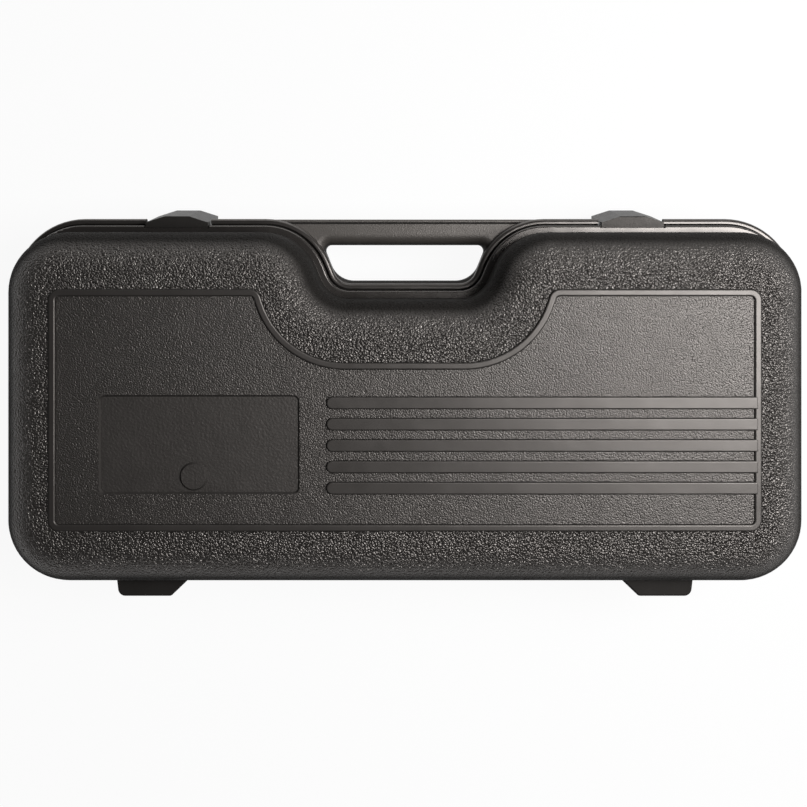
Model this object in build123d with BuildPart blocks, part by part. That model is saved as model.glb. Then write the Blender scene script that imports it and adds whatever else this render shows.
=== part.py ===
"""Carrying case for a studio microphone.

Two moulded half shells are hinged along the back edge and held shut at the front by two snap
latches. A grip bar bridges a recess in the front, feet at the back let the case stand on edge,
and cut foam holds the microphone, its power supply, shock mount and cable.

Frame, in millimetres: the case lies on its base shell, lid up. The origin is on the face that it
lies on, under the middle of the case. X runs along the length, -Y is the handle side and +Z is up.
Left and right are as seen by someone who faces the handle.
"""

import os
from math import cos, radians, sin, tan

from build123d import *

os.makedirs("parts", exist_ok=True)

# ---------------------------------------------------------------- driving dimensions

# Half shells
case_length = 523.6
case_width = 230.0
base_depth = 60.0
lid_depth = 60.0
wall = 3.2
edge_round = 26.0
front_corner = 39.5
back_corner = 41.5
seam_gap = 0.3

# Recess for the hand, in plan
recess_depth = 45.0
recess_floor_length = 104.8
recess_slope = 68.0
shoulder_round = 38.5
recess_corner_round = 21.5

# Stepped rims where the halves meet, and the lip inside that lines them up
rim_height = 6.0
lid_rim_proud = 4.8
lid_rim_round = 1.4
base_rim_proud = 9.5
base_rim_round = 2.4
groove_under_lid = 0.5
groove_width = 1.9
groove_depth = 3.0
lip_height = 4.0
lip_depth = 8.0
lip_thickness = 2.2
lip_clearance = 0.4

# Face panel: outline, raised bead, ribs and sunk plaque
panel_length = 452.6
panel_front = 39.0
panel_back = 40.3
panel_corner = 5.0
panel_dip_depth = 47.1
panel_dip_mouth = 191.6
panel_dip_slope = 72.0
panel_dip_round = 58.0
rest_panel_rise = 1.5
bead_width = 4.8
bead_rise = 1.4
bead_round = 1.3
rib_count = 5
rib_pitch = 13.65
rib_width = 8.1
rib_rise = 1.6
rib_round = 1.0
rib_start = 50.4
first_rib_y = -5.4
plaque_length = 128.8
plaque_width = 63.5
plaque_corner = 4.0
plaque_depth = 1.2
plaque_wall_slope = 45.0
plaque_x = 132.0
plaque_y = 21.4
disc_radius = 8.0
disc_from_plaque = (3.6, 20.6)

# Handle: a frame that lines the recess, the grip bar its outer side
grip_thickness = 18.0
grip_depth = 22.0
grip_set_back = 0.3
grip_outer_round = 1.4
grip_inner_round = 8.0
grip_below_rim = 0.5
grip_groove_inset = 1.8
grip_groove_width = 1.5
grip_groove_depth = 3.0
window_floor_length = 95.0
window_floor_lining = 11.1
window_corner = 17.0
window_top_corner = 4.0
tongue_width = 9.0
tongue_depth = 11.0
tongue_clearance = 0.2

# Hinges
hinge_offset = 92.0
hinge_beyond_rim = 0.6
knuckle_radius = 4.0
knuckle_count = 5
knuckle_pitch = 12.0
knuckle_gap = 0.4
hinge_pin_radius = 2.0
pin_clearance = 0.05
lid_open_angle = 105.0

# Feet
foot_from_end = 69.3
foot_root_length = 50.0
foot_inner_taper = 13.5
foot_outer_taper = 1.5
foot_reach = 12.9
foot_depth = 21.5
foot_edge_round = 1.5
foot_inner_corner = 3.0
foot_outer_corner = 5.0
stop_clearance = 0.3

# Foot screws
screw_radius = 1.7
screw_head_radius = 3.3
screw_length = 11.0

# Latches
latch_from_end = 104.8
latch_width = 42.8
latch_flat = 16.6
latch_length = 43.8
latch_above_rim = 0.2
latch_front_reach = 11.2
latch_back_reach = 16.5
latch_arch_drop = 4.2
latch_beyond_rim = 0.6
latch_wall = 2.4
latch_side_gap = 1.2
hook_thickness = 2.9
hook_bite = 1.5
hook_clearance = 0.3
latch_edge_round = 0.8
latch_pivot_reach = 8.3
latch_pivot_rise = 7.1
latch_pin_radius = 1.5
latch_pin_inset = 0.5
pin_chamfer = 0.3
lug_radius = 3.6
lug_width = 18.0
lug_side_clearance = 0.4
lug_swing_clearance = 1.0

# Foam
foam_clearance = 0.4
foam_sheet = 9.0
base_foam_below_seam = 8.5
lid_foam_above_seam = 6.0
lid_backing_thickness = 18.0
pocket_corner = 8.0
pocket_web = 16.0
microphone_pocket = (212.0, 58.0)
cable_pocket = (160.0, 66.0)
side_pocket_width = 118.0
microphone_pocket_y = 68.0
cable_pocket_y = -12.0
side_pocket_y = -38.0

# ---------------------------------------------------------------- heights and lines that follow

seam = rest_panel_rise + base_depth
case_height = seam + lid_depth
front_line = -case_width / 2
back_line = case_width / 2
base_top = seam - seam_gap / 2
lid_bottom = seam + seam_gap / 2
base_rim_bottom = seam - rim_height
lid_rim_top = seam + rim_height
hinge_axis_out = lid_rim_proud + hinge_beyond_rim
hinge_y = back_line + hinge_axis_out
hinge_length = knuckle_count * knuckle_pitch
latch_offset = case_length / 2 - latch_from_end
latch_inner_line = front_line - lid_rim_proud - latch_beyond_rim
latch_top = lid_rim_top + latch_above_rim
latch_bottom = latch_top - latch_length
latch_pivot_y = front_line - latch_pivot_reach
latch_pivot_height = latch_bottom + latch_pivot_rise
foot_outer_root = case_length / 2 - foot_from_end
foot_outer_tip = foot_outer_root - foot_outer_taper
foot_inner_root = foot_outer_root - foot_root_length
foot_inner_tip = foot_inner_root + foot_inner_taper
foot_middle = (foot_inner_tip + foot_outer_tip) / 2


# ---------------------------------------------------------------- plans and shared forms


def case_plan(grow=0.0):
    """Plan of a half shell with the hand recess, grown outward or, if negative, shrunk."""
    half = case_length / 2
    floor_half = recess_floor_length / 2
    mouth_half = floor_half + recess_depth / tan(radians(recess_slope))
    recess_line = front_line + recess_depth
    corners = [
        (-half, front_line),
        (-mouth_half, front_line),
        (-floor_half, recess_line),
        (floor_half, recess_line),
        (mouth_half, front_line),
        (half, front_line),
        (half, back_line),
        (-half, back_line),
    ]
    rounds = [front_corner, shoulder_round, recess_corner_round]
    rounds += [recess_corner_round, shoulder_round, front_corner, back_corner, back_corner]
    with BuildSketch() as plan:
        with BuildLine():
            FilletPolyline(corners, radius=rounds, close=True)
        make_face()
        if grow:
            offset(amount=grow)
    return plan.sketch


def base_rim_plan():
    """The base rim stands proud of the lid rim, but not at the back, where the lid swings."""
    back_edge = back_line + lid_rim_proud
    with BuildSketch() as plan:
        add(case_plan(base_rim_proud))
        with Locations((0, back_edge)):
            Rectangle(
                2 * case_length,
                case_width,
                align=(Align.CENTER, Align.MIN),
                mode=Mode.SUBTRACT,
            )
    return plan.sketch


def window_plan():
    """Opening that the fingers pass through, between the grip bar and the recess."""
    top_line = front_line - base_rim_proud + grip_set_back + grip_thickness
    floor_line = front_line + recess_depth - window_floor_lining
    floor_half = window_floor_length / 2
    top_half = floor_half + (floor_line - top_line) / tan(radians(recess_slope))
    corners = [(-top_half, top_line), (top_half, top_line)]
    corners += [(floor_half, floor_line), (-floor_half, floor_line)]
    rounds = [window_top_corner, window_top_corner, window_corner, window_corner]
    with BuildSketch() as plan:
        with BuildLine():
            FilletPolyline(corners, radius=rounds, close=True)
        make_face()
    return plan.sketch


def panel_plan(grow=0.0):
    """Face panel inside the rounded border, dipping below the hand recess."""
    half = panel_length / 2
    front = front_line + panel_front
    back = back_line - panel_back
    mouth_half = panel_dip_mouth / 2
    dip_half = mouth_half - panel_dip_depth / tan(radians(panel_dip_slope))
    corners = [
        (-half, front),
        (-mouth_half, front),
        (-dip_half, front + panel_dip_depth),
        (dip_half, front + panel_dip_depth),
        (mouth_half, front),
        (half, front),
        (half, back),
        (-half, back),
    ]
    rounds = [panel_corner, panel_corner, panel_dip_round, panel_dip_round]
    rounds += [panel_corner] * 4
    with BuildSketch() as plan:
        with BuildLine():
            FilletPolyline(corners, radius=rounds, close=True)
        make_face()
        if grow:
            offset(amount=grow)
    return plan.sketch


def shell_form(grow, start, end, rounding):
    """Block with the plan of the case from height start to end, its far edge rounded."""
    with BuildPart() as form:
        with BuildSketch(Plane.XY.offset(start)):
            add(case_plan(grow))
        extrude(amount=end - start)
        far_face = form.faces().filter_by(Axis.Z).sort_by(Axis.Z)[-1 if end > start else 0]
        fillet(far_face.edges(), radius=rounding)
    return form.part


def knuckle_places(first):
    """Middles along X of every second knuckle of both hinges, from the given one."""
    places = []
    for hinge_x in (-hinge_offset, hinge_offset):
        for index in range(first, knuckle_count, 2):
            places.append(hinge_x + (index - (knuckle_count - 1) / 2) * knuckle_pitch)
    return places


def hinge_knuckles(first, direction):
    """Hinge knuckles of one half shell: direction is 1 for the lid and -1 for the base."""
    width = knuckle_pitch - knuckle_gap
    with BuildPart() as knuckles:
        for middle in knuckle_places(first):
            with BuildSketch(Plane.YZ.offset(middle - width / 2)):
                with Locations((hinge_y, seam)):
                    Circle(knuckle_radius)
                root = back_line - wall / 2
                web_middle = seam + direction * (knuckle_radius + seam_gap / 2) / 2
                with Locations(((root + hinge_y) / 2, web_middle)):
                    Rectangle(hinge_y - root, knuckle_radius - seam_gap / 2)
                with Locations((hinge_y, seam)):
                    Circle(hinge_pin_radius + pin_clearance, mode=Mode.SUBTRACT)
            extrude(amount=width)
    return knuckles.part


def screw_form(length, clearance=0.0):
    """Countersunk screw along -Z from its flat head at the origin, or the hole for it."""
    shank = screw_radius + clearance
    head = screw_head_radius + clearance
    tip = -length - clearance
    with BuildPart() as screw:
        with BuildSketch(Plane.XZ):
            with BuildLine():
                Polyline((0, 0), (head, 0), (shank, shank - head), (shank, tip), (0, tip), close=True)
            make_face()
        revolve(axis=Axis.Z)
    return screw.part


def foot_seam_distance():
    """Distance of a foot from the seam at which the feet of both halves meet at full opening."""
    half_angle = radians(lid_open_angle / 2)
    beyond_axis = foot_reach - hinge_axis_out - foot_edge_round
    reach = foot_edge_round + stop_clearance / 2 + beyond_axis * sin(half_angle)
    return reach / cos(half_angle) - foot_edge_round


def foot_screw_locations(height):
    """Heads of the foot screws, flush with the inside of the back wall, shanks outward."""
    inner_face = back_line - wall
    head_plane = Plane(origin=(0, inner_face, height), x_dir=(1, 0, 0), z_dir=(0, -1, 0))
    return [head_plane.location * Location((x, 0, 0)) for x in (-foot_middle, foot_middle)]


base_foot_height = seam - foot_seam_distance() - foot_depth / 2
lid_foot_height = seam + foot_seam_distance() + foot_depth / 2


# ---------------------------------------------------------------- base shell

lip_outer = -(wall + lip_clearance)
lip_inner = -(wall + lip_thickness)
grip_front = base_rim_bottom - grip_below_rim
grip_back = grip_front - grip_depth
grip_middle_height = (grip_front + grip_back) / 2
grip_top_line = front_line - base_rim_proud + grip_set_back
grip_span = recess_floor_length + 2 * recess_depth
grip_middle_y = grip_top_line + grip_thickness / 2

with BuildPart() as base_rim:
    with BuildSketch(Plane.XY.offset(base_rim_bottom)):
        add(base_rim_plan())
    extrude(amount=base_top - base_rim_bottom)
    fillet(base_rim.faces().filter_by(Axis.Z).edges(), radius=base_rim_round)
    # A groove beside the lid rim draws a dark line between the halves.
    groove_inner = lid_rim_proud - groove_under_lid
    with BuildSketch(Plane.XY.offset(base_top)):
        add(case_plan(groove_inner + groove_width))
        add(case_plan(groove_inner), mode=Mode.SUBTRACT)
        with Locations((0, back_line)):
            Rectangle(
                2 * case_length,
                case_width,
                align=(Align.CENTER, Align.MIN),
                mode=Mode.SUBTRACT,
            )
    extrude(amount=-groove_depth, mode=Mode.SUBTRACT)

with BuildPart() as base_shell:
    add(shell_form(0, base_top, rest_panel_rise, edge_round))
    add(base_rim.part)
    with BuildSketch():
        add(panel_plan())
    extrude(amount=rest_panel_rise + wall / 2)
    add(shell_form(-wall, seam, rest_panel_rise + wall, edge_round - wall), mode=Mode.SUBTRACT)
    # Lip inside the rim: its lower part is one with the wall, its upper part enters the lid.
    with BuildSketch(Plane.XY.offset(seam - lip_depth)):
        add(case_plan(-wall / 2))
        add(case_plan(lip_inner), mode=Mode.SUBTRACT)
    extrude(amount=base_top - seam + lip_depth)
    with BuildSketch(Plane.XY.offset(base_top)):
        add(case_plan(lip_outer))
        add(case_plan(lip_inner), mode=Mode.SUBTRACT)
    extrude(amount=seam_gap / 2 + lip_height)
    # Slots in the recess walls for the tongues of the handle.
    with Locations((0, grip_middle_y, grip_middle_height)):
        Box(
            grip_span,
            tongue_width + 2 * tongue_clearance,
            tongue_depth + 2 * tongue_clearance,
            mode=Mode.SUBTRACT,
        )
    # Notches in the rim: in front for the latches, at the back for the hinges.
    notch_bottom = latch_inner_line + hook_clearance
    for latch_x in (-latch_offset, latch_offset):
        with Locations((latch_x, notch_bottom, base_rim_bottom)):
            Box(
                latch_width + 2 * latch_side_gap,
                2 * base_rim_proud,
                rim_height,
                align=(Align.CENTER, Align.MAX, Align.MIN),
                mode=Mode.SUBTRACT,
            )
    for hinge_x in (-hinge_offset, hinge_offset):
        with Locations((hinge_x, back_line, base_rim_bottom)):
            Box(
                hinge_length + 2 * knuckle_gap,
                2 * base_rim_proud,
                rim_height,
                align=(Align.CENTER, Align.MIN, Align.MIN),
                mode=Mode.SUBTRACT,
            )
    add(hinge_knuckles(0, -1))
    # Lugs that carry the latches.
    for latch_x in (-latch_offset, latch_offset):
        with BuildSketch(Plane.YZ.offset(latch_x - lug_width / 2)):
            lug_root = front_line + wall / 2
            with Locations((latch_pivot_y, latch_pivot_height)):
                Circle(lug_radius)
            with Locations(((latch_pivot_y + lug_root) / 2, latch_pivot_height)):
                Rectangle(lug_root - latch_pivot_y, 2 * lug_radius)
            with Locations((latch_pivot_y, latch_pivot_height)):
                Circle(latch_pin_radius + pin_clearance, mode=Mode.SUBTRACT)
        extrude(amount=lug_width)
    for location in foot_screw_locations(base_foot_height):
        add(location * screw_form(screw_length, pin_clearance), mode=Mode.SUBTRACT)

base_shell.part.label = "base_shell"
export_step(base_shell.part, "parts/base_shell.step")


# ---------------------------------------------------------------- lid shell

bead_end = -panel_length / 2

with BuildPart() as rib_block:
    with BuildSketch(Plane.XY.offset(case_height - wall / 2)):
        rib_overall = rib_start - bead_end + rib_width
        for index in range(rib_count):
            with Locations((rib_start - rib_overall / 2, first_rib_y + index * rib_pitch)):
                SlotOverall(rib_overall, rib_width)
        add(panel_plan(), mode=Mode.INTERSECT)
    extrude(amount=wall / 2 + rib_rise)
    fillet(rib_block.faces().group_by(Axis.Z)[-1].edges(), radius=rib_round)

with BuildPart() as bead_ring:
    with BuildSketch(Plane.XY.offset(case_height - wall / 2)):
        add(panel_plan(bead_width / 2))
        add(panel_plan(-bead_width / 2), mode=Mode.SUBTRACT)
    extrude(amount=wall / 2 + bead_rise)
    fillet(bead_ring.faces().group_by(Axis.Z)[-1].edges(), radius=bead_round)

with BuildPart() as lid_rim:
    with BuildSketch(Plane.XY.offset(lid_bottom)):
        add(case_plan(lid_rim_proud))
    extrude(amount=lid_rim_top - lid_bottom)
    fillet(lid_rim.faces().sort_by(Axis.Z)[-1].edges(), radius=lid_rim_round)

with BuildPart() as lid_shell:
    add(shell_form(0, lid_bottom, case_height, edge_round))
    add(lid_rim.part)
    add(shell_form(-wall, seam, case_height - wall, edge_round - wall), mode=Mode.SUBTRACT)
    with BuildSketch(Plane.XY.offset(case_height)):
        with Locations((plaque_x, plaque_y)):
            RectangleRounded(plaque_length, plaque_width, plaque_corner)
    extrude(amount=-plaque_depth, taper=plaque_wall_slope, mode=Mode.SUBTRACT)
    disc_place = (plaque_x + disc_from_plaque[0], plaque_y + disc_from_plaque[1])
    disc_foot = disc_radius + plaque_depth * tan(radians(plaque_wall_slope))
    with Locations((*disc_place, case_height)):
        Cone(disc_foot, disc_radius, plaque_depth, align=(Align.CENTER, Align.CENTER, Align.MAX))
    add(rib_block.part)
    add(bead_ring.part)
    # Pockets in the rim that the latch hooks drop into.
    ledge_height = latch_top - hook_thickness - hook_clearance
    pocket_bottom = front_line - lid_rim_proud + hook_bite + hook_clearance
    for latch_x in (-latch_offset, latch_offset):
        with Locations((latch_x, pocket_bottom, ledge_height)):
            Box(
                latch_width + 2 * latch_side_gap,
                2 * lid_rim_proud,
                rim_height,
                align=(Align.CENTER, Align.MAX, Align.MIN),
                mode=Mode.SUBTRACT,
            )
    for hinge_x in (-hinge_offset, hinge_offset):
        with Locations((hinge_x, back_line, seam)):
            Box(
                hinge_length + 2 * knuckle_gap,
                2 * lid_rim_proud,
                rim_height,
                align=(Align.CENTER, Align.MIN, Align.MIN),
                mode=Mode.SUBTRACT,
            )
    add(hinge_knuckles(1, 1))
    for location in foot_screw_locations(lid_foot_height):
        add(location * screw_form(screw_length, pin_clearance), mode=Mode.SUBTRACT)

lid_shell.part.label = "lid_shell"
export_step(lid_shell.part, "parts/lid_shell.step")


# ---------------------------------------------------------------- handle

grip_groove_line = grip_top_line + grip_groove_inset

with BuildPart() as handle:
    with BuildSketch(Plane.XY.offset(grip_back)):
        with Locations((0, grip_top_line)):
            Rectangle(grip_span, recess_depth + base_rim_proud, align=(Align.CENTER, Align.MIN))
        add(window_plan(), mode=Mode.SUBTRACT)
    extrude(amount=grip_depth)
    outer_edges = handle.edges().filter_by(Axis.X).group_by(Axis.Y)[0]
    fillet(outer_edges, radius=grip_outer_round)
    flat_faces = handle.faces().filter_by(Axis.Z).sort_by(Axis.Z)
    window_edges = flat_faces[0].inner_wires()[0].edges() + flat_faces[-1].inner_wires()[0].edges()
    fillet(window_edges, radius=grip_inner_round)
    # Groove along the outer edge of the grip bar.
    with Locations((0, grip_groove_line, grip_front)):
        Box(
            grip_span,
            grip_groove_width,
            grip_groove_depth,
            align=(Align.CENTER, Align.MIN, Align.MAX),
            mode=Mode.SUBTRACT,
        )
    with BuildSketch(Plane.XY.offset(grip_back)):
        add(case_plan())
    extrude(amount=grip_depth, mode=Mode.SUBTRACT)
    with Locations((0, grip_middle_y, grip_middle_height)):
        Box(grip_span, tongue_width, tongue_depth)
    with BuildSketch(Plane.XY.offset(grip_back)):
        add(case_plan(-wall))
    extrude(amount=grip_depth, mode=Mode.SUBTRACT)

handle.part.label = "handle"
export_step(handle.part, "parts/handle.step")


# ---------------------------------------------------------------- latches and their pins

lug_slot_top = latch_pivot_height + lug_radius + lug_swing_clearance
lug_slot_line = latch_pivot_y - lug_radius - lug_swing_clearance


def latch_reach_at(height):
    """Reach of a latch's crown from the front wall, which grows towards its pivot."""
    share = (latch_top - height) / (latch_top - latch_bottom)
    return latch_front_reach + share * (latch_back_reach - latch_front_reach)


def arch_face(height, inset):
    """Arched section of a latch at a height, shrunk by an inset."""
    half = latch_width / 2 - inset
    flat_half = (latch_flat - inset) / 2
    crown = front_line - latch_reach_at(height) + inset
    arch_end = min(crown + latch_arch_drop, latch_inner_line - latch_edge_round)
    right_side = [(flat_half, crown), (half, arch_end), (half, latch_inner_line)]
    left_side = [(-x, y) for x, y in reversed(right_side)]
    with BuildSketch(Plane.XY.offset(height)) as section:
        with BuildLine():
            Polyline(*right_side, *left_side, close=True)
        make_face()
    return section.sketch


def arch_block(high, low, inset):
    """Block between two arched sections, the outline of a latch or of its hollow."""
    with BuildPart() as block:
        add(arch_face(high, inset))
        add(arch_face(low, inset))
        loft(ruled=True)
    return block.part


def latch_body():
    """Snap latch at X = 0: an arched cover with a hook at its top and a slot for the lug."""
    hollow_high = latch_top - hook_thickness - latch_wall
    hollow_low = lug_slot_top + latch_wall
    slot_width = lug_width + 2 * lug_side_clearance
    hook_line = front_line - lid_rim_proud + hook_bite
    with BuildPart() as latch:
        add(arch_block(latch_top, latch_bottom, 0))
        crown_edges = latch.edges().filter_by_position(Axis.Y, -case_width, latch_inner_line - latch_wall)
        fillet(crown_edges.filter_by(Axis.X), radius=latch_edge_round)
        add(arch_block(hollow_high, hollow_low, latch_wall), mode=Mode.SUBTRACT)
        with Locations((0, latch_inner_line, latch_top)):
            Box(
                latch_width,
                hook_line - latch_inner_line,
                hook_thickness,
                align=(Align.CENTER, Align.MIN, Align.MAX),
            )
        with Locations((0, latch_inner_line, lug_slot_top)):
            Box(
                slot_width,
                latch_inner_line - lug_slot_line,
                lug_slot_top,
                align=(Align.CENTER, Align.MAX, Align.MAX),
                mode=Mode.SUBTRACT,
            )
        with Locations((0, latch_pivot_y, latch_pivot_height)):
            Cylinder(
                latch_pin_radius + pin_clearance,
                2 * latch_width,
                rotation=(0, 90, 0),
                mode=Mode.SUBTRACT,
            )
    return latch.part


for side, latch_x in (("left", -latch_offset), ("right", latch_offset)):
    with BuildPart() as latch:
        with Locations((latch_x, 0, 0)):
            add(latch_body())
    latch.part.label = f"latch_{side}"
    export_step(latch.part, f"parts/latch_{side}.step")

    with BuildPart() as latch_pin:
        with Locations((latch_x, latch_pivot_y, latch_pivot_height)):
            Cylinder(latch_pin_radius, latch_width - 2 * latch_pin_inset, rotation=(0, 90, 0))
        chamfer(latch_pin.edges().filter_by(GeomType.CIRCLE), length=pin_chamfer)
    latch_pin.part.label = f"latch_pin_{side}"
    export_step(latch_pin.part, f"parts/latch_pin_{side}.step")


# ---------------------------------------------------------------- hinge pins

for side, hinge_x in (("left", -hinge_offset), ("right", hinge_offset)):
    with BuildPart() as hinge_pin:
        with Locations((hinge_x, hinge_y, seam)):
            Cylinder(hinge_pin_radius, hinge_length, rotation=(0, 90, 0))
        chamfer(hinge_pin.edges().filter_by(GeomType.CIRCLE), length=pin_chamfer)
    hinge_pin.part.label = f"hinge_pin_{side}"
    export_step(hinge_pin.part, f"parts/hinge_pin_{side}.step")


# ---------------------------------------------------------------- feet and their screws


def foot_body(side, height):
    """Foot on the back wall of a half shell: side is -1 or 1, height is its middle."""
    tip_line = back_line + foot_reach
    inner = [(side * foot_inner_root, back_line), (side * foot_inner_tip, tip_line)]
    outer = [(side * foot_outer_tip, tip_line), (side * foot_outer_root, back_line)]
    with BuildPart() as foot:
        with BuildSketch(Plane.XY.offset(height - foot_depth / 2)):
            with BuildLine():
                FilletPolyline(
                    inner + outer,
                    radius=[0, foot_inner_corner, foot_outer_corner, 0],
                    close=True,
                )
            make_face()
        extrude(amount=foot_depth)
        end_edges = foot.edges().group_by(Axis.Z)[0] + foot.edges().group_by(Axis.Z)[-1]
        rounded = end_edges.filter_by(lambda edge: edge.center().Y > back_line + foot_edge_round)
        fillet(rounded, radius=foot_edge_round)
        for location in foot_screw_locations(height):
            add(location * screw_form(screw_length, pin_clearance), mode=Mode.SUBTRACT)
    return foot.part


for half, height in (("base", base_foot_height), ("lid", lid_foot_height)):
    for side, direction in (("left", -1), ("right", 1)):
        with BuildPart() as foot:
            add(foot_body(direction, height))
        foot.part.label = f"{half}_foot_{side}"
        export_step(foot.part, f"parts/{half}_foot_{side}.step")

    with BuildPart() as foot_screws:
        for location in foot_screw_locations(height):
            add(location * screw_form(screw_length))
    foot_screws.part.label = f"{half}_foot_screws"
    export_step(foot_screws.part, f"parts/{half}_foot_screws.step")


# ---------------------------------------------------------------- foam

foam_inset = -(wall + foam_clearance)
foam_round = edge_round - wall - foam_clearance
foam_floor_bottom = rest_panel_rise + wall + foam_clearance
foam_floor_top = foam_floor_bottom + foam_sheet
foam_end = case_length / 2 + foam_inset - pocket_web
side_pocket_start = cable_pocket[0] / 2 + pocket_web
back_pocket_start = microphone_pocket[0] / 2 + pocket_web
base_foam_top = seam - base_foam_below_seam
lid_foam_bottom = seam + lid_foam_above_seam
lid_foam_ceiling = case_height - wall - foam_clearance
lid_backing_bottom = lid_foam_ceiling - lid_backing_thickness

with BuildPart() as base_foam_floor:
    add(shell_form(foam_inset, base_foam_top, foam_floor_bottom, foam_round))
    split(bisect_by=Plane.XY.offset(foam_floor_top), keep=Keep.BOTTOM)
base_foam_floor.part.label = "base_foam_floor"
export_step(base_foam_floor.part, "parts/base_foam_floor.step")

with BuildPart() as base_foam:
    add(shell_form(foam_inset, base_foam_top, foam_floor_bottom, foam_round))
    split(bisect_by=Plane.XY.offset(foam_floor_top), keep=Keep.TOP)
    with BuildSketch(Plane.XY.offset(foam_floor_top)):
        with Locations((0, microphone_pocket_y)):
            RectangleRounded(*microphone_pocket, pocket_corner)
        with Locations((0, cable_pocket_y)):
            RectangleRounded(*cable_pocket, pocket_corner)
        side_pocket_x = (side_pocket_start + foam_end) / 2
        with Locations((-side_pocket_x, side_pocket_y), (side_pocket_x, side_pocket_y)):
            RectangleRounded(foam_end - side_pocket_start, side_pocket_width, pocket_corner)
        back_pocket_x = (back_pocket_start + foam_end) / 2
        with Locations((-back_pocket_x, microphone_pocket_y), (back_pocket_x, microphone_pocket_y)):
            RectangleRounded(foam_end - back_pocket_start, microphone_pocket[1], pocket_corner)
    extrude(amount=base_foam_top - foam_floor_top, mode=Mode.SUBTRACT)
base_foam.part.label = "base_foam"
export_step(base_foam.part, "parts/base_foam.step")

with BuildPart() as lid_foam:
    add(shell_form(foam_inset, lid_foam_bottom, lid_foam_ceiling, foam_round))
    split(bisect_by=Plane.XY.offset(lid_backing_bottom), keep=Keep.BOTTOM)
lid_foam.part.label = "lid_foam"
export_step(lid_foam.part, "parts/lid_foam.step")

with BuildPart() as lid_foam_backing:
    add(shell_form(foam_inset, lid_foam_bottom, lid_foam_ceiling, foam_round))
    split(bisect_by=Plane.XY.offset(lid_backing_bottom), keep=Keep.TOP)
lid_foam_backing.part.label = "lid_foam_backing"
export_step(lid_foam_backing.part, "parts/lid_foam_backing.step")
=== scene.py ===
# %% [markdown]
# # Dressing a microphone case
#
# The object is a hard moulded carrying case: two half shells of black plastic, a grip bar, two
# snap latches, feet, steel pins and a foam lining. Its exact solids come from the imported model,
# so this lesson spends its time on what a solid can't carry: the pebble grain of the mould, the
# satin of the smooth parts, drawn steel, and foam that is soft at its edges.
#
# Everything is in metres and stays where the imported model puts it.

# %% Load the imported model
from math import cos, pi

import bmesh
import bpy
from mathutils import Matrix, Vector, noise


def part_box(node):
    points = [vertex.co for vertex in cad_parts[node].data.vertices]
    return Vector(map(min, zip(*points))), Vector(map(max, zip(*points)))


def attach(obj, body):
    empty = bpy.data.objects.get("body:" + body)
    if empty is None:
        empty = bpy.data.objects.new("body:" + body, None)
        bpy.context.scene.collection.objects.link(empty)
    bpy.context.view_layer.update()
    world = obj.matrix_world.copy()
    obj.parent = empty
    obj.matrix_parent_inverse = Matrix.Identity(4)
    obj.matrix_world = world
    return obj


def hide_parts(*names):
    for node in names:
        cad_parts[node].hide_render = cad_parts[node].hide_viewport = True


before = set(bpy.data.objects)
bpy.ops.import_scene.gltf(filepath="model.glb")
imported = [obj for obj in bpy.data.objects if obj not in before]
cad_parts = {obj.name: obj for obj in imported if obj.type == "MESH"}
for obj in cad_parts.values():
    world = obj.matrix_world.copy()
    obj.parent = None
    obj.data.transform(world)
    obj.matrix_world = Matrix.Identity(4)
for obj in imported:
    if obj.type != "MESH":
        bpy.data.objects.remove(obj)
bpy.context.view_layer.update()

# %% [markdown]
# ## Sizes that the finishes follow
#
# A finish often changes at an edge of the shape: the grain stops below the rims, and the beads
# and ribs are polished. Node materials can read a point's own place, so it is enough to know the
# heights and the outlines of the face panel and its plaque. They are named once here.

# %% Heights and outlines of the case
mm = 0.001
shell_low, shell_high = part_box("lid_shell")

# Heights over the ground
seam = 61.5 * mm
groove_floor = 58.35 * mm
grip_groove_floor = 52.0 * mm

# Distances from the seam, up the lid or down the base
rim_top = 7.0 * mm
rim_left_behind = 9.0 * mm
grain_start = 26.0 * mm
grain_full = 38.0 * mm
face = 60.0 * mm

# Places along Y that part the front edges from what lies behind them
grip_groove_reach = -120.0 * mm
front_edge = -120.0 * mm
behind_front_edge = -117.0 * mm

# Outlines seen from above
panel_half_length = 226.3 * mm
panel_front = -76.0 * mm
panel_back = 74.7 * mm
dip_half_flat = 38.4 * mm
dip_radius = 58.0 * mm
dip_centre_y = panel_front - 10.9 * mm
plaque_middle = (132.0 * mm, 21.4 * mm)
plaque_half = (64.4 * mm, 31.75 * mm)
print(f"Lid shell is {1000 * (shell_high.x - shell_low.x):.0f} mm long")

# %% [markdown]
# ## The camera
#
# The photograph looks squarely at the lid: the horizontal edges stay level and the near and far
# ends shrink alike, so the camera isn't tilted. The lines that run away from us meet well above
# the middle of the picture, near the handle, which is what a camera high up gives after its
# picture is cropped. A vertical shift does the same without tilting anything.

# %% Camera at the photograph's viewing angle
camera_data = bpy.data.cameras.new("photo_camera")
camera_data.sensor_width = 36.0
camera_data.lens = 50.8
camera_data.shift_y = -0.2
camera = bpy.data.objects.new("photo_camera", camera_data)
camera.location = (0.9 * mm, -108.4 * mm, seam + 790 * mm)
camera.rotation_euler = (0, 0, pi)
bpy.context.scene.collection.objects.link(camera)
bpy.context.scene.camera = camera
print("Camera height above the floor:", round(camera.location.z, 3), "m")

# %% [markdown]
# ## Helpers for node materials
#
# A material is a small flow chart. The first helpers wire and calculate. The next find out where
# a point is and how its surface lies, and answer with a mask: 1 where something holds, 0 where it
# doesn't, and a soft step between. The last ones make patterns, relief and colour.

# %% Helpers that wire and calculate


def new_material(name):
    """A material with its node tree and its Principled shader."""
    material = bpy.data.materials.new(name)
    material.use_nodes = True
    return material, material.node_tree, material.node_tree.nodes["Principled BSDF"]


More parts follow.
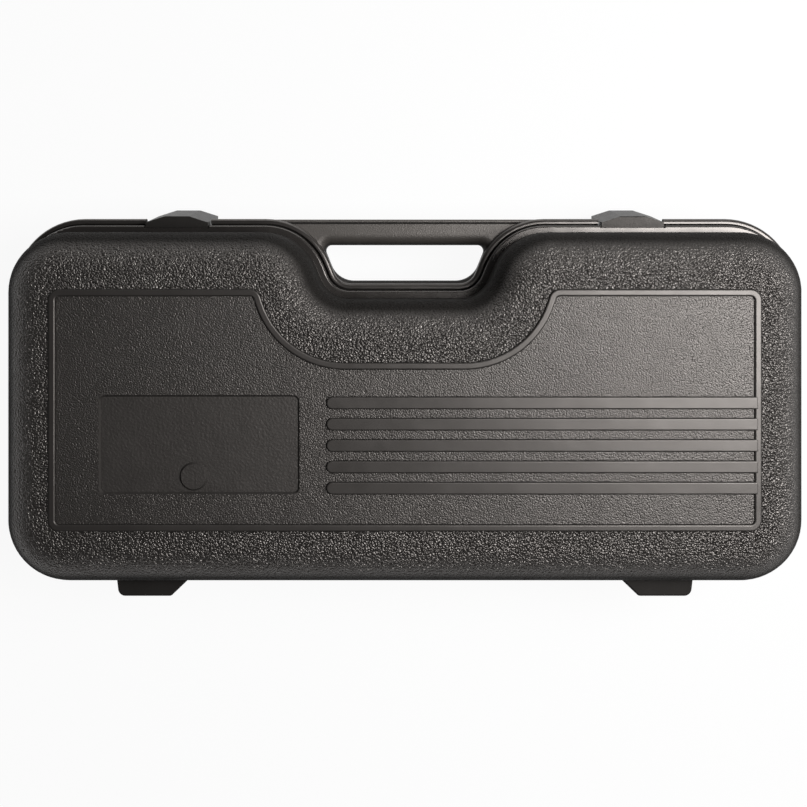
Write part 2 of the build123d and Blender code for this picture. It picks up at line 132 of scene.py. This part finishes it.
def connect(tree, value, socket):
    """Sets a socket to a number or colour, or links another node's output to it."""
    if isinstance(value, bpy.types.NodeSocket):
        tree.links.new(value, socket)
    else:
        socket.default_value = value


def calculate(tree, operation, *values):
    """Result of a Math node."""
    node = tree.nodes.new("ShaderNodeMath")
    node.operation = operation
    for value, socket in zip(values, node.inputs):
        connect(tree, value, socket)
    return node.outputs[0]


def product(tree, first, *others):
    """All the values multiplied together."""
    result = first
    for other in others:
        result = calculate(tree, "MULTIPLY", result, other)
    return result


def opposite(tree, mask):
    """1 where a mask is 0, and 0 where it is 1."""
    return calculate(tree, "SUBTRACT", 1.0, mask)


def add_share(tree, value, mask, amount):
    """A value with an amount added to it, by as much as a mask says."""
    return calculate(tree, "MULTIPLY_ADD", mask, amount, value)


def fade(tree, value, start, end):
    """0 before start and 1 after end, with a soft step between; end may be below start."""
    node = tree.nodes.new("ShaderNodeMapRange")
    node.interpolation_type = "SMOOTHSTEP"
    connect(tree, value, node.inputs["Value"])
    node.inputs["From Min"].default_value = start
    node.inputs["From Max"].default_value = end
    return node.outputs["Result"]


print("Wiring helpers ready")

# %% Helpers that find where a point is and how it lies
hair = 0.2 * mm

# How squarely a surface faces up, as the cosine of its slope: 26, 37, 57 and 66 degrees
level = 0.9
sloping = 0.8
steep = 0.55
steepest = 0.4


def own_place(tree):
    """A point's own place on the object."""
    return tree.nodes.new("ShaderNodeTexCoord").outputs["Object"]


def parts_of(tree, vector):
    """The X, Y and Z of a vector."""
    parts = tree.nodes.new("ShaderNodeSeparateXYZ")
    tree.links.new(vector, parts.inputs[0])
    return parts.outputs


def facing_up(tree):
    """How squarely a surface faces up or down in its own frame: 1 when flat, 0 on a wall."""
    normal = tree.nodes.new("ShaderNodeTexCoord").outputs["Normal"]
    return calculate(tree, "ABSOLUTE", parts_of(tree, normal)[2])


def flat_at(tree, z, upward, height):
    """1 on what lies flat within a hair of a height, 0 elsewhere."""
    away = calculate(tree, "ABSOLUTE", calculate(tree, "SUBTRACT", z, height))
    return product(tree, fade(tree, away, 2 * hair, hair), fade(tree, upward, sloping, level))


print("Place helpers ready")

# %% Helpers for patterns, relief and colour


def cloudy(tree, position, size, detail=2.0):
    """Soft noise with lumps of a size in metres, from 0 to 1."""
    node = tree.nodes.new("ShaderNodeTexNoise")
    tree.links.new(position, node.inputs["Vector"])
    node.inputs["Scale"].default_value = 1 / size
    node.inputs["Detail"].default_value = detail
    return node.outputs["Fac"]


def pebbles(tree, position, size):
    """Height of close-packed pebbles of a size in metres: 1 on top, low in the creases."""
    wobble = tree.nodes.new("ShaderNodeTexNoise")
    tree.links.new(position, wobble.inputs["Vector"])
    wobble.inputs["Scale"].default_value = 0.7 / size
    wobble.inputs["Detail"].default_value = 1.0
    shift = tree.nodes.new("ShaderNodeVectorMath")
    shift.operation = "MULTIPLY_ADD"
    tree.links.new(wobble.outputs["Color"], shift.inputs[0])
    shift.inputs[1].default_value = (size, size, size)
    tree.links.new(position, shift.inputs[2])
    cells = tree.nodes.new("ShaderNodeTexVoronoi")
    cells.feature = "F1"
    tree.links.new(shift.outputs[0], cells.inputs["Vector"])
    cells.inputs["Scale"].default_value = 1 / size
    distance = cells.outputs["Distance"]
    return opposite(tree, product(tree, distance, distance))


def bump(tree, shader, height, depth):
    """Turns a height from 0 to 1 into relief of a depth in metres."""
    node = tree.nodes.new("ShaderNodeBump")
    node.inputs["Strength"].default_value = 1.0
    node.inputs["Distance"].default_value = depth
    tree.links.new(height, node.inputs["Height"])
    tree.links.new(node.outputs["Normal"], shader.inputs["Normal"])


def mix_colours(tree, factor, first, second):
    """A colour between two; each is three numbers or another node's output."""
    node = tree.nodes.new("ShaderNodeMix")
    node.data_type = "RGBA"
    tree.links.new(factor, node.inputs["Factor"])
    for colour, socket in ((first, node.inputs["A"]), (second, node.inputs["B"])):
        is_linked = isinstance(colour, bpy.types.NodeSocket)
        connect(tree, colour if is_linked else (*colour, 1), socket)
    return node.outputs["Result"]


print("Pattern helpers ready")

# %% [markdown]
# ## Pebbled shell plastic
#
# The shells are moulded in one colour of black, and the mould's own surface gives them several
# finishes: coarse pebbles on the bulging border, finer ones on the face panel, a fine ripple in
# the sunk plaque, and smooth plastic on the rims, the bead and the ribs. Painting masks by hand
# would be slow, so the material works out where it is. Its distance from the seam finds the
# smooth parts. The panel's outline, a rectangle less a rounded dip below the hand recess, tells
# fine grain from coarse, and a second rectangle finds the plaque.
#
# The walls and the floor of the groove beside the rim get painted shade: they are rougher,
# reflect less and have a slightly deeper black than the flats.

# %% Recipe for the shell plastic
warm_gloss = (1.0, 0.93, 0.88, 1.0)
shell_colours = ((0.010, 0.0088, 0.0080), (0.015, 0.0132, 0.0120))
# Deeper black painted on the walls and the groove's floor as shade
painted_shade_shell_colour = (0.011, 0.010, 0.0092)
coarse_pebble = 1.35 * mm
fine_pebble = 0.95 * mm
plaque_ripple = 1.6 * mm
shell_relief = 0.7 * mm
polish_step = 0.4 * mm


def within(tree, value, middle, half):
    """1 less than half a width away from the middle, 0 farther off."""
    away = calculate(tree, "ABSOLUTE", calculate(tree, "SUBTRACT", value, middle))
    return calculate(tree, "LESS_THAN", away, half)


def inside_panel(tree, x, y):
    """1 inside the outline of the face panel, 0 on the border."""
    beside = calculate(tree, "ABSOLUTE", x)
    across = calculate(tree, "LESS_THAN", beside, panel_half_length)
    behind_front = calculate(tree, "GREATER_THAN", y, panel_front)
    before_back = calculate(tree, "LESS_THAN", y, panel_back)
    past_flat = calculate(tree, "SUBTRACT", beside, dip_half_flat)
    past_flat = calculate(tree, "MAXIMUM", past_flat, 0.0)
    from_centre = calculate(tree, "SUBTRACT", y, dip_centre_y)
    squares = [product(tree, part, part) for part in (past_flat, from_centre)]
    distance = calculate(tree, "SQRT", calculate(tree, "ADD", *squares))
    clear_of_dip = calculate(tree, "GREATER_THAN", distance, dip_radius)
    return product(tree, across, behind_front, before_back, clear_of_dip)


def inside_plaque(tree, x, y):
    """1 inside the outline of the sunk plaque, its little disc included."""
    sides = zip((x, y), plaque_middle, plaque_half)
    return product(tree, *[within(tree, *side) for side in sides])


def shell_plastic(name, polished_above, rim_roughness):
    """Black plastic with coarse grain on the border, fine on the panel and none on the rims."""
    material, tree, shader = new_material(name)
    position = own_place(tree)
    x, y, z = parts_of(tree, position)
    upward = facing_up(tree)

    height = calculate(tree, "ABSOLUTE", calculate(tree, "SUBTRACT", z, seam))
    at_face = fade(tree, height, face - 2 * mm, face - 1.4 * mm)
    polished = fade(tree, height, polished_above, polished_above + polish_step)
    grained = product(tree, fade(tree, height, grain_start, grain_full), opposite(tree, polished))
    on_panel = product(tree, inside_panel(tree, x, y), at_face)
    sunk = product(tree, inside_plaque(tree, x, y), at_face)
    on_border = product(tree, grained, opposite(tree, on_panel))
    beside_plaque = product(tree, grained, calculate(tree, "SUBTRACT", on_panel, sunk))
    on_rim = fade(tree, height, rim_left_behind, rim_top)
    on_wall = product(tree, fade(tree, upward, level, steep), opposite(tree, on_rim))
    in_groove = flat_at(tree, z, upward, groove_floor)
    # Painted shade: walls and the groove's floor get a deeper black, more roughness, weaker
    # reflection
    painted_shade = calculate(tree, "MAXIMUM", on_wall, in_groove)

    coarse = product(tree, pebbles(tree, position, coarse_pebble), on_border, 1.2)
    fine = product(tree, pebbles(tree, position, fine_pebble), beside_plaque, 0.38)
    ripple = product(tree, cloudy(tree, position, plaque_ripple, 3.0), 0.35, sunk)
    waves = product(tree, cloudy(tree, position, 30 * mm), 0.5)
    relief = calculate(tree, "ADD", calculate(tree, "ADD", coarse, fine), waves)
    bump(tree, shader, calculate(tree, "ADD", relief, ripple), shell_relief)

    mottled = mix_colours(tree, cloudy(tree, position, 45 * mm), *shell_colours)
    colour = mix_colours(tree, painted_shade, mottled, painted_shade_shell_colour)
    tree.links.new(colour, shader.inputs["Base Color"])
    rough = add_share(tree, 0.36, cloudy(tree, position, 12 * mm, 4.0), 0.12)
    rough = add_share(tree, rough, on_rim, rim_roughness - 0.42)
    rough = add_share(tree, rough, sunk, 0.07)
    rough = add_share(tree, rough, on_border, -0.12)
    rough = add_share(tree, rough, painted_shade, 0.45)
    tree.links.new(rough, shader.inputs["Roughness"])
    tree.links.new(add_share(tree, 0.5, painted_shade, -0.44), shader.inputs["Specular IOR Level"])
    shader.inputs["Specular Tint"].default_value = warm_gloss
    shader.inputs["IOR"].default_value = 1.8
    return material


lid_plastic = shell_plastic("lid_shell_plastic", face + 0.3 * mm, rim_roughness=0.27)
base_plastic = shell_plastic("base_shell_plastic", face + 9 * mm, rim_roughness=0.30)
print("Shell plastic made for the lid and the base")

# %% [markdown]
# ## Satin plastic
#
# The handle, the latches and the feet come from smooth moulds. They aren't mirrors: the plastic
# sinks a little as it cools, so reflections waver. A faint broad wave and a very fine speckle in
# the relief give that, with the roughness varying slightly. As on the shells, the walls in the
# hand gap and round the feet, and the floor of the narrow groove along the grip, get painted
# shade: a deeper black, more roughness and weaker reflection. The front edges keep their shine.

# %% Recipe for satin plastic
# Deeper black painted on walls and the groove's floor as shade
painted_shade_satin_colour = (0.006, 0.0055, 0.005)
satin_relief = 0.16 * mm


def satin_plastic(name, dark, light, roughness, ior, speckle_share):
    """Smooth black plastic with a faint waver and speckle, and painted shade on walls behind the
    front.
    """
    material, tree, shader = new_material(name)
    position = own_place(tree)
    y, z = parts_of(tree, position)[1:]
    upward = facing_up(tree)

    waves = cloudy(tree, position, 14 * mm)
    speckle = product(tree, cloudy(tree, position, 0.9 * mm), speckle_share)
    bump(tree, shader, calculate(tree, "ADD", waves, speckle), satin_relief)

    # Only the floor of the grip's narrow groove lies this far forward at this height.
    forward = calculate(tree, "LESS_THAN", y, grip_groove_reach)
    in_groove = product(tree, flat_at(tree, z, upward, grip_groove_floor), forward)
    behind_front = fade(tree, y, front_edge, behind_front_edge)
    on_wall = product(tree, fade(tree, upward, sloping, steepest), behind_front)
    # Painted shade: walls behind the front and the groove's floor get a deeper black, weaker
    # reflection
    painted_shade = calculate(tree, "MAXIMUM", on_wall, in_groove)

    tone = mix_colours(tree, cloudy(tree, position, 25 * mm, 3.0), dark, light)
    colour = mix_colours(tree, painted_shade, tone, painted_shade_satin_colour)
    tree.links.new(colour, shader.inputs["Base Color"])
    rough = add_share(tree, roughness - 0.06, cloudy(tree, position, 6 * mm, 4.0), 0.12)
    tree.links.new(add_share(tree, rough, painted_shade, 0.25), shader.inputs["Roughness"])
    tree.links.new(add_share(tree, 0.5, painted_shade, -0.3), shader.inputs["Specular IOR Level"])
    shader.inputs["Specular Tint"].default_value = warm_gloss
    shader.inputs["IOR"].default_value = ior
    return material


handle_plastic = satin_plastic(
    "handle_plastic", dark=(0.034, 0.030, 0.027), light=(0.044, 0.040, 0.036),
    roughness=0.46, ior=1.8, speckle_share=1.0,
)
latch_plastic = satin_plastic(
    "latch_plastic", dark=(0.007, 0.0066, 0.0062), light=(0.011, 0.010, 0.0093),
    roughness=0.46, ior=1.45, speckle_share=1.0,
)
foot_plastic = satin_plastic(
    "foot_plastic", dark=(0.007, 0.0065, 0.006), light=(0.011, 0.010, 0.0095),
    roughness=0.7, ior=1.35, speckle_share=0.5,
)
print("Satin plastic made for the handle, latches and feet")

# %% [markdown]
# ## Drawn steel
#
# Hinge and latch pins are drawn rod, and the screws are zinc plated. Drawing leaves fine lines
# along the rod, here noise that is stretched along X, the length of every pin.

# %% Recipe for steel
line_width = 0.35 * mm
line_stretch = (0.04, 1.0, 1.0)
line_depth = 0.03 * mm


def drawn_steel(name, dark, light, roughness):
    """Steel with fine lines along X."""
    material, tree, shader = new_material(name)
    position = own_place(tree)
    stretched = tree.nodes.new("ShaderNodeMapping")
    tree.links.new(position, stretched.inputs["Vector"])
    stretched.inputs["Scale"].default_value = line_stretch
    lines = cloudy(tree, stretched.outputs[0], line_width, 3.0)
    bump(tree, shader, lines, line_depth)
    tree.links.new(mix_colours(tree, lines, dark, light), shader.inputs["Base Color"])
    rough = add_share(tree, roughness, cloudy(tree, position, 5 * mm, 3.0), 0.15)
    tree.links.new(rough, shader.inputs["Roughness"])
    shader.inputs["Metallic"].default_value = 1.0
    return material


pin_steel = drawn_steel("pin_steel", (0.50, 0.50, 0.51), (0.66, 0.66, 0.67), 0.22)
screw_steel = drawn_steel("screw_steel", (0.44, 0.45, 0.47), (0.60, 0.61, 0.62), 0.30)
print("Steel made for pins and screws")

# %% [markdown]
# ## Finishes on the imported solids
#
# These pieces already have their right shape, so only their material changes.

# %% Give each hard piece its finish
finishes = {
    "lid_shell": lid_plastic,
    "base_shell": base_plastic,
    "handle": handle_plastic,
}
for side in ("left", "right"):
    finishes[f"latch_{side}"] = latch_plastic
    finishes[f"latch_pin_{side}"] = pin_steel
    finishes[f"hinge_pin_{side}"] = pin_steel
    finishes[f"base_foot_{side}"] = foot_plastic
    finishes[f"lid_foot_{side}"] = foot_plastic
for half in ("base", "lid"):
    finishes[f"{half}_foot_screws"] = screw_steel
for node_name, material in finishes.items():
    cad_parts[node_name].data.materials[0] = material
print("Finished", len(finishes), "hard pieces")

# %% [markdown]
# ## Foam
#
# Cut foam is never as crisp as its solid: edges round over, faces waver, and the cells show. Each
# packed foam solid is copied, its loose triangles merged, and remeshed into small even faces, so
# that smoothing can round the edges and noise can press the faces in a little. The lid's foam is
# convoluted, peaks down: its lower face is pushed up between the peaks, which stay at the
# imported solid's height.

# %% Recipe for foam
large_cell = 1.3 * mm
small_cell = 0.7 * mm
foam_relief = 0.5 * mm


def foam_finish(name, dark, light):
    """Dull open-cell foam: small cells of mixed size in soft, broad tone changes."""
    material, tree, shader = new_material(name)
    position = own_place(tree)
    cells = pebbles(tree, position, large_cell)
    small_cells = product(tree, pebbles(tree, position, small_cell), 0.5)
    bump(tree, shader, calculate(tree, "ADD", cells, small_cells), foam_relief)
    mottle = product(tree, cloudy(tree, position, 20 * mm, 3.0), 0.6)
    mottle = add_share(tree, mottle, cells, 0.4)
    tree.links.new(mix_colours(tree, mottle, dark, light), shader.inputs["Base Color"])
    shader.inputs["Roughness"].default_value = 0.95
    shader.inputs["Specular IOR Level"].default_value = 0.2
    return material


cut_foam = foam_finish("cut_foam", (0.022, 0.022, 0.024), (0.048, 0.048, 0.052))
print("Foam finish made")

# %% Foam pieces
merge_distance = 0.01 * mm
peak_spacing = 44 * mm
valley_depth = 14 * mm
smoothing_rounds = 2
press_in = 0.35 * mm
press_spacing = 12 * mm


def even_copy(node_name, piece_name, cell):
    """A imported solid's copy with small even faces, linked to the scene."""
    merged = bmesh.new()
    merged.from_mesh(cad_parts[node_name].data)
    bmesh.ops.remove_doubles(merged, verts=merged.verts, dist=merge_distance)
    data = bpy.data.meshes.new(piece_name)
    merged.to_mesh(data)
    merged.free()
    piece = bpy.data.objects.new(piece_name, data)
    bpy.context.scene.collection.objects.link(piece)
    evened = piece.modifiers.new("even_faces", "REMESH")
    evened.mode = "VOXEL"
    evened.voxel_size = cell
    evaluated = piece.evaluated_get(bpy.context.evaluated_depsgraph_get())
    even_data = bpy.data.meshes.new_from_object(evaluated)
    piece.modifiers.clear()
    piece.data = even_data
    return piece


def convolute(piece):
    """Pushes the lower face up between staggered peaks; the upper face stays flat."""
    lowest = min(vert.co.z for vert in piece.data.vertices)
    turn = 2 * pi / peak_spacing
    for vert in piece.data.vertices:
        valley = (1 - cos(turn * vert.co.x) * cos(turn * vert.co.y)) / 2
        above = (vert.co.z - lowest) / (2 * valley_depth)
        vert.co.z += valley_depth * valley * max(0.0, 1.0 - above)


def soften(piece):
    """Rounds a piece's edges and presses its faces in a little, unevenly."""
    mesh = bmesh.new()
    mesh.from_mesh(piece.data)
    for _ in range(smoothing_rounds):
        bmesh.ops.smooth_vert(
            mesh, verts=mesh.verts, factor=0.5, use_axis_x=True, use_axis_y=True, use_axis_z=True
        )
    mesh.normal_update()
    for vert in mesh.verts:
        amount = 0.5 + 0.5 * noise.noise(vert.co / press_spacing)
        vert.co -= vert.normal * press_in * amount
    mesh.to_mesh(piece.data)
    mesh.free()
    for polygon in piece.data.polygons:
        polygon.use_smooth = True


foam_pieces = {
    "base_foam": ("cut_foam_block", "base", 2.5 * mm),
    "base_foam_floor": ("foam_floor_sheet", "base", 3.0 * mm),
    "lid_foam": ("convoluted_lid_foam", "lid", 2.5 * mm),
    "lid_foam_backing": ("lid_backing_sheet", "lid", 4.0 * mm),
}
for node_name, (piece_name, body, cell) in foam_pieces.items():
    piece = even_copy(node_name, piece_name, cell)
    if node_name == "lid_foam":
        convolute(piece)
    soften(piece)
    piece.data.materials.clear()
    piece.data.materials.append(cut_foam)
    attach(piece, body)
    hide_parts(node_name)
    print(piece_name, len(piece.data.polygons), "faces")

# %% [markdown]
# ## The stage
#
# A plain floor and soft light. The photograph has a pure white ground, so the floor adds a share
# of white that only the camera, mirrors and glass see, and keeps a soft shadow.

# %% Floor
white_share = 0.93
floor_mesh = bmesh.new()
bmesh.ops.create_grid(floor_mesh, x_segments=1, y_segments=1, size=6.0)
floor_data = bpy.data.meshes.new("floor")
floor_mesh.to_mesh(floor_data)
floor_mesh.free()
floor = bpy.data.objects.new("floor", floor_data)
bpy.context.scene.collection.objects.link(floor)
floor_material, tree, shader = new_material("white_floor")
shader.inputs["Base Color"].default_value = (0.8, 0.8, 0.8, 1)
shader.inputs["Roughness"].default_value = 0.8
shader.inputs["Specular IOR Level"].default_value = 0.1
seen_by = tree.nodes.new("ShaderNodeLightPath").outputs
rays = calculate(tree, "ADD", seen_by["Is Camera Ray"], seen_by["Is Glossy Ray"])
rays = calculate(tree, "ADD", rays, seen_by["Is Transmission Ray"])
rays = calculate(tree, "MINIMUM", rays, 1.0)
glow = tree.nodes.new("ShaderNodeEmission")
mixer = tree.nodes.new("ShaderNodeMixShader")
tree.links.new(product(tree, rays, white_share), mixer.inputs[0])
tree.links.new(shader.outputs[0], mixer.inputs[1])
tree.links.new(glow.outputs[0], mixer.inputs[2])
tree.links.new(mixer.outputs[0], tree.nodes["Material Output"].inputs["Surface"])
floor_data.materials.append(floor_material)
print("Floor laid")

# %% World and lamps
world = bpy.data.worlds.new("studio")
bpy.context.scene.world = world
world.use_nodes = True
background = world.node_tree.nodes["Background"]
background.inputs["Color"].default_value = (0.98, 0.98, 1.0, 1)
background.inputs["Strength"].default_value = 0.1


def softbox(name, location, target, size, power):
    """Rectangular lamp that faces a point."""
    lamp_data = bpy.data.lights.new(name, "AREA")
    lamp_data.shape = "RECTANGLE"
    lamp_data.size, lamp_data.size_y = size
    lamp_data.energy = power
    lamp = bpy.data.objects.new(name, lamp_data)
    lamp.location = location
    towards = Vector(target) - Vector(location)
    lamp.rotation_euler = towards.to_track_quat("-Z", "Y").to_euler()
    bpy.context.scene.collection.objects.link(lamp)


softbox("key_softbox", (-0.5, -0.12, 0.80), target=(-0.05, 0, 0.1), size=(0.4, 0.6), power=10.5)
softbox("side_softbox", (-1.25, 0.0, 0.45), target=(0, 0, 0.1), size=(0.6, 0.9), power=1)
softbox(
    "handle_side_softbox", (-0.1, -1.3, 0.28), target=(0, -0.1, 0.06), size=(1.2, 0.35), power=3.2
)
print("Studio lit")

bpy.context.scene.view_settings.view_transform = "Standard"
